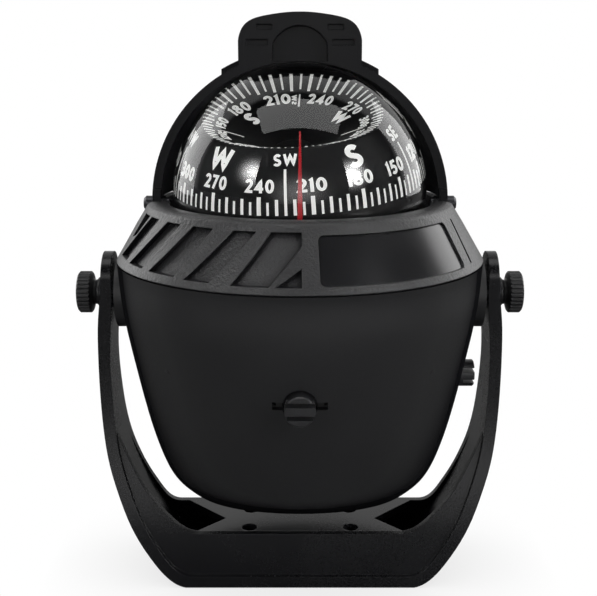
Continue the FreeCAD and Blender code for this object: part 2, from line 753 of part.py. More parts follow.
body = piece_body("fill_plug")
revolve(body, [(0, PLUG_FOOT), (3.2, PLUG_FOOT), (3.2, under_floor_level),
               (2.0, under_floor_level), (2.0, floor_level - 0.3), (0, floor_level - 0.3)])
slot = [(-2.4, -0.4), (2.4, -0.4), (2.4, 0.4), (-2.4, 0.4)]
pocket(body, polygon(body, "XY", "slot", slot, PLUG_FOOT), 1.0, reverse=True)
body.Placement = FreeCAD.Placement(Vector(PORT_X, 0, 0), FreeCAD.Rotation())

# ================================================================ lubber pin
# front view, tapering upwards: half width, height
LUBBER_TAPER = [(1.6, 83), (1.6, 86), (0.6, 88), (0.52, 104), (0.16, 119.5)]


def dome_arc(radius):
    """Points of an arc at the front, about the dome's centre."""
    return [(0, -radius * math.cos(math.radians(a)), dome_z + radius * math.sin(math.radians(a)))
            for a in range(-34, 36, 3)]


def make_lubber():
    outer, inner = dome_arc(28.0), dome_arc(27.1)
    foot_y = outer[0][1]
    foot = polyline([inner[0], (0, foot_y + 0.75, flange_z), (0, -30.5, flange_z),
                     (0, -30.5, flange_z + 0.9), (0, foot_y, flange_z + 0.9), outer[0]])
    wire = Part.Wire([spline(outer), line(outer[-1], inner[-1]),
                      spline(list(reversed(inner))), foot])
    blade = slab(Part.Face(wire), (-2, 0, 0), (4, 0, 0))
    right = [(x, -40, z) for x, z in LUBBER_TAPER]
    left = [(-x, -40, z) for x, z in reversed(LUBBER_TAPER)]
    return blade.common(prism(left[-1:] + right + left[:-1], (0, 40, 0)))


add_shape("lubber_pin", make_lubber())


# ================================================================ side clamps
def threaded_insert(side):
    shape = side_cylinder(side, 3.5, 36.6, 9.8, tilt_z)
    shape = shape.cut(side_cylinder(side, size["stud_hole"] / 2, 36.0, 12.0, tilt_z))
    groove = side_cylinder(side, 3.6, 40.8, 1.2, tilt_z)
    return shape.cut(groove.cut(side_cylinder(side, 3.1, 40.0, 3.0, tilt_z)))


def toothed_washer(side):
    thickness = size["arm_inner"] - size["boss_face"] - 0.02
    shape = side_cylinder(side, 4.0, size["boss_face"], thickness, tilt_z)
    shape = shape.cut(side_cylinder(side, 2.3, 45, 5, tilt_z))
    for k in range(16):
        angle = math.radians(22.5 * k)
        start = (side * 46.0, 4.05 * math.cos(angle), tilt_z + 4.05 * math.sin(angle))
        shape = shape.cut(cylinder(0.42, start, (side, 0, 0), 3.0))
    return shape


add_shape("threaded_inserts", compound_pair(threaded_insert))
add_shape("toothed_washers", compound_pair(toothed_washer))

arm_face = dim("arm_outer")
knob_face = dim("knob_face")
stud_radius = dim("stud_dia") * 0.5
knob_radius = dim("knob_dia") * 0.5
hole_radius = dim("stud_hole") * 0.5
# right-hand profiles: x, radius
WASHER = [
    (arm_face + 0.02, hole_radius), (arm_face + 0.62, hole_radius), (arm_face + 0.62, 4.1),
    (arm_face + 0.42, 4.3), (arm_face + 0.02, 4.3),
]
KNOB = [
    (arm_face + 0.65, 2.0), (arm_face + 0.65, 3.75), (arm_face + 1.1, 3.8),
    (arm_face + 1.5, 3.3), (arm_face + 2.0, 3.1), (arm_face + 2.5, 3.5),
    (arm_face + 2.75, 4.5), (arm_face + 2.9, knob_radius - 0.35), (arm_face + 3.2, knob_radius),
    (knob_face - 0.4, knob_radius), (knob_face, knob_radius - 0.45), (knob_face, 2.9),
    (knob_face - 0.4, 2.6), (knob_face - 0.4, 0), (knob_face - 2.0, 0), (knob_face - 2.0, 2.0),
]
STUD = [
    (39.2, 0), (39.2, stud_radius - 0.5), (39.7, stud_radius),
    (knob_face - 2.0, stud_radius), (knob_face - 2.0, 0),
]


def mirrored(points, side):
    return [(x * side, radius) for x, radius in points]


for side, side_name in ((1, "right"), (-1, "left")):
    lathe_x(side_name + "_clamp_washer", mirrored(WASHER, side), tilt_level)
    # knurled knob on a waisted neck, moulded around the stud's head
    body = piece_body(side_name + "_knob")
    revolve(body, mirrored(KNOB, side), axis="H_Axis")
    flute = pocket(body, circles(body, "YZ", "flute", [(0, knob_radius + 0.12, 0.42)],
                                 side * (size["knob_face"] + 0.5)), 4.6, reverse=(side < 0))
    knurl = body.newObject("PartDesign::PolarPattern", flute.Name + "_polar")
    knurl.Originals = [flute]
    knurl.Axis = (origin_feature(body, "X_Axis"), [""])
    knurl.Angle = 360.0
    knurl.Occurrences = 30
    body.Tip = knurl
    doc.recompute()
    lift(body, tilt_level)
    lathe_x(side_name + "_stud", mirrored(STUD, side), tilt_level)

# ================================================================ visor
visor_inner = size["visor_inner"]
FRONT_Y = -1.5              # front face of the visor
# right half of the grip tongue, from its foot to the crown: x, z
TONGUE = [
    (15.2, 132.0), (15.2, 139.6), (14.7, 141.7), (13.5, 143.6), (11.9, 144.7),
    (9.4, 145.5), (6.0, 146.1), (3.0, 146.45), (0.0, 146.55),
]
# grip slots of one side: inner x, outer x, bottom z, top z
GRIP_SLOTS = [(6.8, 10.7, 142.25, 143.55), (7.9, 13.3, 138.55, 139.95)]


def ball(radius):
    return Part.makeSphere(radius, Vector(0, 0, visor_z))


def hinge_disc(side):
    disc = side_cylinder(side, 4.3, visor_inner, 2.0, visor_z)
    return disc.cut(box(-60, -8, visor_z + 1.0, 60, -2.2, visor_z + 8))


def grip_tongue():
    right = spline(in_xz(TONGUE[1:]))
    left = spline(in_xz(reversed(TONGUE[1:]), -1))
    base = polyline(in_xz([TONGUE[1], TONGUE[0]], -1) + in_xz(TONGUE[:2]))
    face = Part.Face(Part.Wire([right, left] + base.Edges))
    return slab(face, (0, FRONT_Y, 0), (0, 3.4, 0)).cut(ball(36.0))


def thumb_scoop():
    arch = Part.Arc(Vector(-6.7, 0, 139.0), Vector(0, 0, 143.3), Vector(6.7, 0, 139.0)).toShape()
    rest = polyline(in_xz([(6.7, 139.0), (6.9, 134.6), (-6.9, 134.6), (-6.7, 139.0)]))
    return slab(Part.Face(Part.Wire([arch] + rest.Edges)), (0, -3, 0), (0, 4.0, 0))


def make_visor():
    low, high = visor_z + 1.75, visor_z + 60
    shell = ball(size["visor_outer"]).cut(ball(visor_inner))
    shell = shell.common(box(-60, FRONT_Y, low, 60, 60, high))
    # thickened brow behind the front edge, with a sloping rear
    brow = ball(38.7).cut(ball(visor_inner + 0.3))
    brow = brow.common(box(-19.6, FRONT_Y, visor_z + 28.0, 19.6, 9.0, high))
    brow = brow.common(prism([(-60, FRONT_Y, visor_z + 20), (-60, 3.5, visor_z + 41),
                              (-60, 12.0, visor_z + 33.4), (-60, 12.0, visor_z + 20)],
                             (120, 0, 0)))
    # stiffening band along the shell's front edge
    band = ball(37.5).cut(ball(visor_inner + 0.2)).common(box(-60, FRONT_Y, low, 60, 1.6, high))
    shape = shell.fuse([brow, band, fuse_pair(hinge_disc), grip_tongue()])
    # four grip slots and the thumb scoop in the tongue's front face
    for side in (1, -1):
        for inner_x, outer_x, bottom, top in GRIP_SLOTS:
            left, right = sorted((side * inner_x, side * outer_x))
            shape = shape.cut(box(left, -3, bottom, right, -0.6, top))
    shape = shape.cut(thumb_scoop())
    shape = shape.cut(cylinder(1.56, (-60, 0, visor_z), (1, 0, 0), 120))
    return shape.cut(ball(visor_inner - 0.001))


def visor_pin(side):
    tip = Part.makeCone(1.9, 1.3, 0.6, Vector(side * 39.1, 0, visor_z), Vector(side, 0, 0))
    head = side_cylinder(side, 1.9, 37.4, 1.7, visor_z).fuse(tip)
    return side_cylinder(side, 1.5, 33.3, 4.2, visor_z).fuse(head)


add_shape("visor", make_visor())
add_shape("visor_pivot_pins", compound_pair(visor_pin))

# ================================================================ inner gimbal
pin_radius = size["pin_dia"] / 2
# outline of a stand post: x, z
POST = [
    (-4.2, floor_z), (4.2, floor_z), (2.3, floor_z + 14), (2.3, gimbal_z + 1.3),
    (-2.3, gimbal_z + 1.3), (-2.3, floor_z + 14),
]


def make_stand():
    base = Vector(0, 0, floor_z)
    shape = Part.makeCylinder(19.0, 1.6, base).cut(Part.makeCylinder(11.0, 1.6, base))
    for side in (1, -1):
        front, rear = sorted((side * 14.2, side * 17.0))
        shape = shape.fuse(prism([(x, front, z) for x, z in POST], (0, rear - front, 0)))
    return shape.cut(cylinder(pin_radius, (0, -18, gimbal_z), (0, 1, 0), 36))


add_shape("gimbal_stand", make_stand())
add_shape("gimbal_ring_pins", compound_pair(
    lambda side: cylinder(pin_radius, (0, side * 11.3, gimbal_z), (0, side, 0), 5.6)))

body = piece_body("gimbal_ring")
revolve(body, [(10.6, gimbal_level - 1.4), (12.9, gimbal_level - 1.4),
               (12.9, gimbal_level + 1.4), (10.6, gimbal_level + 1.4)])
for plane, tag in (("XZ", "pin_y"), ("YZ", "pin_x")):
    pocket(body, circles(body, plane, tag, [(0, gimbal_level, dim("pin_bore") * 0.5)]),
           40.0, midplane=True)

body = piece_body("card_cradle")
revolve(body, [
    (0, gimbal_level - 13.0), (2.2, gimbal_level - 13.0), (2.2, gimbal_level - 1.0),
    (9.4, gimbal_level - 1.0), (9.4, gimbal_level + 1.0), (2.8, gimbal_level + 1.0),
    (2.2, gimbal_level + 4.0), (0.5, gimbal_level + 4.0), (0.5, gimbal_level + 2.0),
    (0, gimbal_level + 2.0)])
pocket(body, circles(body, "YZ", "pin_x", [(0, gimbal_level, dim("pin_dia") * 0.5)]),
       40.0, midplane=True)
add_shape("cradle_pins", compound_pair(
    lambda side: side_cylinder(side, pin_radius, 3.0, 9.4, gimbal_z)))
lathe_z("pivot_needle", [
    (0, gimbal_level + 2.0), (0.5, gimbal_level + 2.0), (0.5, gimbal_level + 6.6),
    (0.08, gimbal_level + 7.6), (0, gimbal_level + 7.6)])
lathe_z("counterweight", [
    (2.2, gimbal_level - 13.0), (6.2, gimbal_level - 13.0), (6.5, gimbal_level - 12.7),
    (6.5, gimbal_level - 7.3), (6.2, gimbal_level - 7.0), (2.2, gimbal_level - 7.0)])

# ================================================================ card
card_radius = size["card_radius"]
card_wall = size["card_wall"]
rim_rise = size["dial_rise"]
dish_rise = size["dish_rise"]
jewel_radius = 3.2
under_rim_radius = 16.9                 # where the dial's underside meets the band
under_rim_rise = rim_rise - 0.62
FLOAT_TOP_RADIUS = 15.2


def make_card():
    """A spherical band with a funnel-shaped dial that slopes from a narrow flat rim
    down to the jewel."""
    centre = Vector(0, 0, card_z)
    band = Part.makeSphere(card_radius, centre).cut(
        Part.makeSphere(card_radius - card_wall, centre))
    band = band.common(box(-40, -40, card_z - 2.0, 40, 40, card_z + rim_rise))
    rim_radius = math.sqrt(card_radius * card_radius - rim_rise * rim_rise)
    section = [(rim_radius, rim_rise), (16.3, rim_rise), (jewel_radius, dish_rise),
               (jewel_radius, dish_rise - card_wall), (under_rim_radius, under_rim_rise)]
    outline = in_xz([(radius, card_z + z) for radius, z in section + section[:1]])
    dial = Part.Face(polyline(outline)).revolve(Vector(0, 0, 0), Vector(0, 0, 1), 360)
    return band.fuse(dial)


add_shape("card_dial", make_card())
dish_level = dim("card_level") + dim("dish_rise")
# the float's top follows the slope of the dial's underside
under_slope = (under_rim_rise - (dish_rise - card_wall)) / (under_rim_radius - jewel_radius)
float_top = dish_level - card_wall - 0.02
lathe_z("card_float", [
    (jewel_radius, 105.0), (17.4, 105.0), (18.0, 106.0), (18.0, 108.6),
    (FLOAT_TOP_RADIUS, float_top + (FLOAT_TOP_RADIUS - jewel_radius) * under_slope),
    (jewel_radius, float_top)])
lathe_z("jewel_cup", [
    (1.4, gimbal_level + 6.1), (jewel_radius, gimbal_level + 6.1), (jewel_radius, dish_level),
    (2.6, dish_level + 0.5), (0, dish_level + 0.5), (0, gimbal_level + 7.75),
    (0.12, gimbal_level + 7.7)])
add_shape("card_magnets", compound_pair(
    lambda side: box(side * 8 - 1.5, -10, 102.0, side * 8 + 1.5, 10, 105.0)))

# ================================================================ compensators
head_radius = dim("comp_head_dia") * 0.5
journal_radius = dim("journal_dia") * 0.5
rod_radius = dim("rod_dia") * 0.5
MAGNET_PLACE = 14.0         # distance of each magnet from the spindle's middle
MAGNET_RADIUS = 1.5
MAGNET_LENGTH = 5.4
CLIP_RADIUS, CLIP_THICK = 4.4, 0.6


def add_compensator(name, plane, side, level, head_face, head_back, journal_end, rod_end,
                    groove_start, ray):
    """Spindle and magnets along ray, with distances measured towards the head, which lies
    on the side's end of the axis."""
    body = piece_body("compensator_spindle_" + name)
    barrel, barrel_end = 10.5, 17.5
    profile = [
        (head_face, 0), (head_face, head_radius - 0.3), (head_face - 0.3, head_radius),
        (head_back, head_radius), (head_back, journal_radius), (journal_end, journal_radius),
        (journal_end, rod_radius), (barrel_end, rod_radius), (barrel_end, journal_radius),
        (barrel, journal_radius), (barrel, rod_radius), (-barrel, rod_radius),
        (-barrel, journal_radius), (-barrel_end, journal_radius), (-barrel_end, rod_radius),
        (rod_end, rod_radius), (rod_end, 0)]
    revolve(body, mirrored(profile, side), plane, "H_Axis")
    # two grooves across the head, 3 mm deep
    start, end = side * groove_start, side * (head_face - 3.0)
    for tag, sign in (("a", 1), ("b", -1)):
        near, far = sign * 0.95, sign * 2.05
        groove = [(start, near), (end, near), (end, far), (start, far)]
        pocket(body, polygon(body, plane, "groove_" + tag, groove), 12.0, midplane=True)
    places = [(sign * MAGNET_PLACE * ray[0], sign * MAGNET_PLACE * ray[1]) for sign in (1, -1)]
    pocket(body, circles(body, "XY", "magnet_holes", [(x, y, MAGNET_RADIUS) for x, y in places]),
           12.0, midplane=True)
    lift(body, level)
    add_shape("compensator_magnets_" + name, Part.makeCompound([
        cylinder(MAGNET_RADIUS, (x, y, level.value - MAGNET_LENGTH / 2), (0, 0, 1), MAGNET_LENGTH)
        for x, y in places]))


# fore-aft spindle, head at the front
add_compensator("fore_aft", "YZ", -1, fore_aft_level, head_face=46.9, head_back=39.1,
                journal_end=35.95, rod_end=-36.5, groove_start=48, ray=(0, 1))
clip_z = size["fa_level"]
clip = cylinder(CLIP_RADIUS, (0, -35.9, clip_z), (0, 1, 0), CLIP_THICK)
clip = clip.cut(cylinder(size["rod_dia"] / 2, (0, -36.5, clip_z), (0, 1, 0), 2.0))
add_shape("compensator_clip_fore_aft", clip.cut(box(-1.2, -37, clip_z, 1.2, -34, clip_z + 6)))

# athwart spindle, head at the right
add_compensator("athwart", "XZ", 1, athwart_level, head_face=45.8, head_back=38.3,
                journal_end=34.95, rod_end=-35.5, groove_start=47, ray=(1, 0))
clip_z = size["at_level"]
clip = cylinder(CLIP_RADIUS, (34.9, 0, clip_z), (-1, 0, 0), CLIP_THICK)
clip = clip.cut(cylinder(size["rod_dia"] / 2, (36.5, 0, clip_z), (-1, 0, 0), 3.0))
add_shape("compensator_clip_athwart", clip.cut(box(33, -1.2, clip_z, 36, 1.2, clip_z + 6)))

# ================================================================ checks and export
doc.recompute()
faults = []
for obj in doc.Objects:
    if any(flag in obj.State for flag in ("Invalid", "Error")):
        faults.append("%s %s" % (obj.Name, obj.State))
for name, obj in pieces.items():
    if obj.Shape.isNull() or not obj.Shape.isValid() or not obj.Shape.Solids:
        faults.append("%s has no valid solid" % name)
if faults:
    raise RuntimeError("; ".join(faults))
os.makedirs("parts", exist_ok=True)
for name, obj in pieces.items():
    obj.Shape.exportStep("parts/%s.step" % name)
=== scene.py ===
"""A liquid-filled marine compass: a clear dome over a floating card, in a black housing.

The reader looks from -Y towards +Y, +X is to the reader's right and +Z is up.
Scene units are metres. Sizes of parts are given in mm and scaled by MM.
"""
import math
from functools import cached_property

import bmesh
import bpy
from mathutils import Matrix, Vector


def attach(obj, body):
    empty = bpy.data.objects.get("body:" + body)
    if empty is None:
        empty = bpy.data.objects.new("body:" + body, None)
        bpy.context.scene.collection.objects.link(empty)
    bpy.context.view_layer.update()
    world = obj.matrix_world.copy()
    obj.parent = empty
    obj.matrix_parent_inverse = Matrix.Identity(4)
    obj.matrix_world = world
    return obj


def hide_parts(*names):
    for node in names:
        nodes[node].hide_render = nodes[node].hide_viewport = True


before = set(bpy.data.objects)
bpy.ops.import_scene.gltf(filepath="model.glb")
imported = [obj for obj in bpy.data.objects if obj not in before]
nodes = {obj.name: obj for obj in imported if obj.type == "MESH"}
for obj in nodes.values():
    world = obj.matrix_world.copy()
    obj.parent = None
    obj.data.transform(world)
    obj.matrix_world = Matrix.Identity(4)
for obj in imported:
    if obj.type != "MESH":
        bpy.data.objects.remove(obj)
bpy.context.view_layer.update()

MM = 0.001
DOME_Z = 102.5                                  # centre of the dome, mm
DOME_CENTRE = Vector((0.0, 0.0, DOME_Z * MM))   # what the lamps are aimed at, m


# ------------------------------------------------------------------ node graphs

class Graph:
    """A node tree that ends in one output node."""

    def __init__(self, tree, output_kind):
        self.tree = tree
        tree.nodes.clear()
        self.output = self.add(output_kind)

    def feed(self, node, inputs):
        """Links sockets to a node's inputs, or sets them to plain values."""
        for key, value in inputs.items():
            socket = node.inputs[key]
            if isinstance(value, bpy.types.NodeSocket):
                self.tree.links.new(value, socket)
            elif socket.type == "RGBA":
                socket.default_value = (*value, 1.0)
            else:
                socket.default_value = value

    def add(self, kind, inputs=None, **props):
        node = self.tree.nodes.new(kind)
        for key, value in props.items():
            setattr(node, key, value)
        self.feed(node, inputs or {})
        return node

    def surface(self, shader):
        self.feed(self.output, {"Surface": shader.outputs[0]})

    def math(self, operation, *values, clamp=False):
        inputs = dict(enumerate(values))
        return self.add("ShaderNodeMath", inputs, operation=operation, use_clamp=clamp).outputs[0]

    def ramp(self, value, span=(0.3, 0.7), to=(0.0, 1.0), **props):
        """Maps span onto to. The default span is where most of a noise's values lie."""
        inputs = {"Value": value, "From Min": span[0], "From Max": span[1],
                  "To Min": to[0], "To Max": to[1]}
        return self.add("ShaderNodeMapRange", inputs, clamp=True, **props).outputs[0]

    def switch(self, ray, usual, special):
        """Shows the special shader to one kind of ray and the usual one to all others."""
        is_ray = self.add("ShaderNodeLightPath").outputs[ray]
        inputs = {0: is_ray, 1: usual.outputs[0], 2: special.outputs[0]}
        self.surface(self.add("ShaderNodeMixShader", inputs))


LOOKS = {}      # Material by name


class Material(Graph):
    """A material, normally with a Principled shader, kept in LOOKS."""

    def __init__(self, name, principled=True):
        self.mat = bpy.data.materials.new(name)
        self.mat.use_nodes = True
        super().__init__(self.mat.node_tree, "ShaderNodeOutputMaterial")
        if principled:
            self.bsdf = self.add("ShaderNodeBsdfPrincipled")
            self.surface(self.bsdf)
        LOOKS[name] = self

    @cached_property
    def coord(self):
        return self.add("ShaderNodeTexCoord").outputs["Object"]

    def noise(self, scale, detail=3.0, rough=0.5, stretch=None):
        coord = self.coord
        if stretch:
            mapping = {"Vector": coord, "Scale": stretch}
            coord = self.add("ShaderNodeMapping", mapping).outputs[0]
        inputs = {"Vector": coord, "Scale": scale, "Detail": detail, "Roughness": rough}
        return self.add("ShaderNodeTexNoise", inputs).outputs["Fac"]

    def blend(self, factor, first, second):
        return self.add("ShaderNodeMix", {0: factor, 6: first, 7: second},
                        data_type="RGBA").outputs[2]

    def occlusion(self, distance, samples):
        """Low inside corners and recesses, 1 in the open."""
        return self.add("ShaderNodeAmbientOcclusion", {"Distance": distance},
                        samples=samples).outputs["AO"]

    def rounded(self, radius):
        """Normals of slightly rounded edges, which catch the light."""
        return self.add("ShaderNodeBevel", {"Radius": radius}, samples=4).outputs[0]

    def shade(self, inputs):
        self.feed(self.bsdf, inputs)

    def mottle(self, noise, first, second):
        self.shade({"Base Color": self.blend(self.ramp(noise), first, second)})

    def bump(self, height, strength, distance, normal=None):
        inputs = {"Height": height, "Strength": strength, "Distance": distance}
        if normal:
            inputs["Normal"] = normal
        self.shade({"Normal": self.add("ShaderNodeBump", inputs).outputs[0]})


# ------------------------------------------------------------------ materials

def bezel_material():
    """Coarse sparkling grain, with painted shade in the corners of the slots, where the sheen is
    turned down.
    """
    look = Material("bezel_grain")
    coarse = look.math("MULTIPLY", look.noise(scale=1500.0, detail=2.0, rough=0.6), 0.7)
    fine = look.math("MULTIPLY", look.noise(scale=3600.0, detail=2.0, rough=0.6), 0.5)
    grain = look.math("ADD", coarse, fine)
    cells = look.add("ShaderNodeTexVoronoi", {"Vector": look.coord, "Scale": 1300.0},
                     feature="F1").outputs["Distance"]
    height = look.math("ADD", grain, look.math("MULTIPLY", cells, 0.35))
    look.mottle(look.noise(scale=60.0), (0.008, 0.008, 0.009), (0.013, 0.013, 0.014))
    # painted shade: ambient occlusion turns the sheen down in the slots' corners and recesses
    ao_for_painted_shade = look.occlusion(distance=0.0025, samples=6)
    look.shade({
        "Roughness": look.ramp(grain, span=(0.4, 0.8), to=(0.30, 0.48)),
        "Specular IOR Level": look.ramp(ao_for_painted_shade, span=(0.45, 0.95), to=(0.05, 0.62)),
    })
    look.bump(height, strength=0.9, distance=0.0002, normal=look.rounded(radius=0.00028))


def panel_material():
    """The plain glossy label panel."""
    look = Material("bezel_panel")
    slow = look.noise(scale=50.0)
    look.mottle(slow, (0.007, 0.007, 0.008), (0.011, 0.011, 0.012))
    look.shade({"Roughness": look.ramp(slow, to=(0.2, 0.27))})
    look.bump(look.noise(scale=2400.0, detail=2.0), strength=0.25, distance=0.000008)


def plastic(name, base, tint, rough, cloud, grain, depth, specular, edge):
    """Moulded plastic: fine grain, slow mottling in gloss, a trace of colour variation."""
    look = Material(name)
    fine = look.noise(scale=grain, rough=0.6)
    slow = look.noise(scale=45.0)
    look.mottle(slow, base, tint)
    slow_gloss = look.ramp(slow, to=(rough - cloud, rough + cloud))
    fine_gloss = look.ramp(fine, span=(0.35, 0.65), to=(-0.03, 0.03))
    look.shade({"Roughness": look.math("ADD", slow_gloss, fine_gloss, clamp=True),
                "Specular IOR Level": specular})
    look.bump(fine, strength=0.6, distance=depth, normal=look.rounded(edge) if edge else None)


def metal(name, base, dark, rough, stretch=None):
    look = Material(name)
    fine = look.noise(scale=2600.0, rough=0.6, stretch=stretch)
    look.mottle(look.noise(scale=160.0), base, dark or tuple(c * 0.8 for c in base))
    look.shade({"Metallic": 1.0,
                "Roughness": look.ramp(fine, to=(rough - 0.07, rough + 0.07))})
    look.bump(fine, strength=0.35, distance=0.00001)


def fade_rim(look):
    """Paints shade towards the outline: the sheen dies away there, so the edges go dark."""
    facing = look.add("ShaderNodeLayerWeight").outputs["Facing"]
    look.shade({"Specular IOR Level": look.ramp(facing, span=(0.45, 0.8), to=(0.5, 0.0))})


def glass_material():
    """Clear acrylic backed by liquid: one solid lens, but lamps still light the card inside."""
    look = Material("clear_acrylic")
    look.shade({
        "Base Color": (0.985, 0.992, 0.99),
        "Transmission Weight": 1.0,
        "IOR": 1.46,
        "Roughness": look.ramp(look.noise(scale=30.0), span=(0.35, 0.75), to=(0.0, 0.004)),
    })
    clear = look.add("ShaderNodeBsdfTransparent", {"Color": (0.93, 0.94, 0.94)})
    look.switch("Is Shadow Ray", usual=look.bsdf, special=clear)


def wetted_material():
    """The dome's inner face, wetted by liquid of nearly its index: light passes straight on."""
    look = Material("acrylic_wetted_face", principled=False)
    film = look.ramp(look.noise(scale=25.0, detail=2.0), span=(0.4, 0.7))
    colour = look.blend(film, (1.0, 1.0, 1.0), (0.992, 0.996, 0.996))
    look.surface(look.add("ShaderNodeBsdfTransparent", {"Color": colour}))


# name, base and tint colours,
# roughness and its slow variation, grain scale, grain depth (m), specular, edge radius (m)
PLASTICS = [
    ("housing_satin", (0.007, 0.007, 0.008), (0.010, 0.010, 0.011),
     0.47, 0.03, 2600.0, 0.000018, 0.5, None),
    ("bracket_satin", (0.004, 0.004, 0.005), (0.007, 0.007, 0.008),
     0.25, 0.05, 1900.0, 0.00002, 0.32, 0.0003),
    ("visor_satin", (0.003, 0.003, 0.0035), (0.005, 0.005, 0.006),
     0.36, 0.04, 2200.0, 0.00002, 0.14, 0.0004),
    ("knob_satin", (0.007, 0.007, 0.008), (0.011, 0.011, 0.012),
     0.36, 0.05, 2400.0, 0.00003, 0.5, 0.00025),
    ("spindle_nylon", (0.012, 0.012, 0.013), (0.018, 0.018, 0.02),
     0.33, 0.06, 2600.0, 0.00003, 0.5, 0.0002),
    ("card_black", (0.002, 0.002, 0.0022), (0.0035, 0.0035, 0.004),
     0.5, 0.03, 3200.0, 0.00001, 0.18, None),
    ("marking_white", (0.86, 0.86, 0.84), (0.8, 0.8, 0.78),
     0.55, 0.05, 3000.0, 0.000006, 0.5, None),
    ("lubber_red", (0.40, 0.006, 0.012), (0.26, 0.004, 0.008),
     0.3, 0.05, 3000.0, 0.00001, 0.5, None),
    ("inner_moulding", (0.012, 0.012, 0.013), (0.017, 0.017, 0.018),
     0.5, 0.06, 1800.0, 0.00003, 0.5, None),
    ("float_foam", (0.05, 0.05, 0.052), (0.035, 0.035, 0.037),
     0.9, 0.05, 2400.0, 0.00008, 0.5, None),
    ("seal_rubber", (0.02, 0.02, 0.021), (0.03, 0.03, 0.03),
     0.75, 0.06, 1600.0, 0.00005, 0.5, None),
]

# name, base colour, dark colour (None: 0.8 of the base), roughness, stretch of the grain
METALS = [
    ("stainless", (0.62, 0.62, 0.61), None, 0.3, (1, 1, 6)),
    ("blackened_steel", (0.06, 0.06, 0.065), None, 0.36, None),
    ("machined_brass", (0.78, 0.58, 0.27), (0.62, 0.44, 0.2), 0.3, (1, 1, 8)),
    ("ferrite", (0.16, 0.16, 0.17), None, 0.5, None),
]

bezel_material()
panel_material()
for row in PLASTICS:
    plastic(*row)
# painted shade on the housing's edges
fade_rim(LOOKS["housing_satin"])
# painted light: the white markings glow a little, though they are no lamp
LOOKS["marking_white"].shade({"Emission Color": (1.0, 1.0, 0.97), "Emission Strength": 0.3})
for row in METALS:
    metal(*row)
glass_material()
wetted_material()

# ------------------------------------------------------------------ CAD pieces

CAD_LOOKS = {
    "bracket_satin": "bracket",
    "housing_satin": "lower_housing",
    "bezel_grain": "bezel_ring",
    "visor_satin": "visor",
    "knob_satin": "left_knob right_knob",
    "lubber_red": "lubber_pin",
    "seal_rubber": "dome_gasket diaphragm",
    "inner_moulding": "chamber_bowl clamp_ring diaphragm_retainer gimbal_stand gimbal_ring "
                      "card_cradle",
    "card_black": "jewel_cup card_dial",
    "float_foam": "card_float",
    "stainless": "clamp_screws capsule_screws retainer_screws left_stud right_stud "
                 "pivot_needle gimbal_ring_pins cradle_pins compensator_clip_fore_aft "
                 "compensator_clip_athwart",
    "blackened_steel": "toothed_washers left_clamp_washer right_clamp_washer "
                       "visor_pivot_pins",
    "machined_brass": "threaded_inserts fill_plug counterweight",
    "ferrite": "card_magnets compensator_magnets_fore_aft compensator_magnets_athwart",
    "spindle_nylon": "compensator_spindle_fore_aft compensator_spindle_athwart",
    "clear_acrylic": "dome",
}
look_of = {part: look for look, parts in CAD_LOOKS.items() for part in parts.split()}
for part, ob in nodes.items():
    ob.data.materials.clear()
    ob.data.materials.append(LOOKS[look_of[part]].mat)

# The bezel's conical face, mm, and the panel sunk into its right half
CONE_R0, CONE_Z0 = 46.6, 86.1       # foot
CONE_R1, CONE_Z1 = 38.6, 99.7       # top
PANEL_AZIMUTH = (5.5, 58.8)         # degrees to the right of the front
PANEL_DEPTH = (0.42, 0.8)           # mm inside the cone
PANEL_Z = (87.4, 98.2)


def finish_panel():
    """Gives the sunk panel its own finish."""
    bezel = nodes["bezel_ring"]
    bezel.data.materials.append(LOOKS["bezel_panel"].mat)
    for face in bezel.data.polygons:
        x, y, z = (bezel.matrix_world @ face.center) * 1000.0
        azimuth = math.degrees(math.atan2(x, -y))
        cone_r = CONE_R0 + (CONE_R1 - CONE_R0) * (z - CONE_Z0) / (CONE_Z1 - CONE_Z0)
        measured = (azimuth, PANEL_AZIMUTH), (cone_r - math.hypot(x, y), PANEL_DEPTH), (z, PANEL_Z)
        if all(low < value < high for value, (low, high) in measured):
            face.material_index = 1


finish_panel()

# ------------------------------------------------------------------ mesh helpers


def mesh_object(name, bm):
    me = bpy.data.meshes.new(name)
    bm.to_mesh(me)
    bm.free()
    ob = bpy.data.objects.new(name, me)
    bpy.context.scene.collection.objects.link(ob)
    return ob


def new_object(name, bm, looks, sharp_angle=30.0):
    """A smooth-shaded object, sharp where faces meet at more than sharp_angle degrees."""
    bmesh.ops.recalc_face_normals(bm, faces=bm.faces)
    ob = mesh_object(name, bm)
    for look in looks:
        ob.data.materials.append(LOOKS[look].mat)
    for face in ob.data.polygons:
        face.use_smooth = True
    ob.data.set_sharp_from_angle(angle=math.radians(sharp_angle))
    return ob


def lathe(profile, segs, lined_from=None):
    """Revolves a closed (r, z) profile in mm about the vertical axis.

    Faces from profile point lined_from onwards take the second material.
    """
    bm = bmesh.new()
    rings = []
    for r, z in profile:
        if r < 1e-6:
            rings.append([bm.verts.new((0.0, 0.0, z * MM))])
            continue
        angles = [2 * math.pi * k / segs for k in range(segs)]
        rings.append([bm.verts.new((r * math.cos(a) * MM, r * math.sin(a) * MM, z * MM))
                      for a in angles])
    for i, a in enumerate(rings):
        b = rings[(i + 1) % len(rings)]
        if len(a) == 1 and len(b) == 1:
            continue
        for k in range(segs):
            k2 = (k + 1) % segs
            if len(a) == 1:
                face = bm.faces.new((a[0], b[k], b[k2]))
            elif len(b) == 1:
                face = bm.faces.new((a[k], b[0], a[k2]))
            else:
                face = bm.faces.new((a[k], b[k], b[k2], a[k2]))
            if lined_from is not None and i >= lined_from:
                face.material_index = 1
    return bm


def oval(cx, cy, rx, ry, start, end, steps):
    """Points along an ellipse from start to end, in degrees."""
    angles = [math.radians(start + (end - start) * i / steps) for i in range(steps + 1)]
    return [(cx + rx * math.cos(a), cy + ry * math.sin(a)) for a in angles]


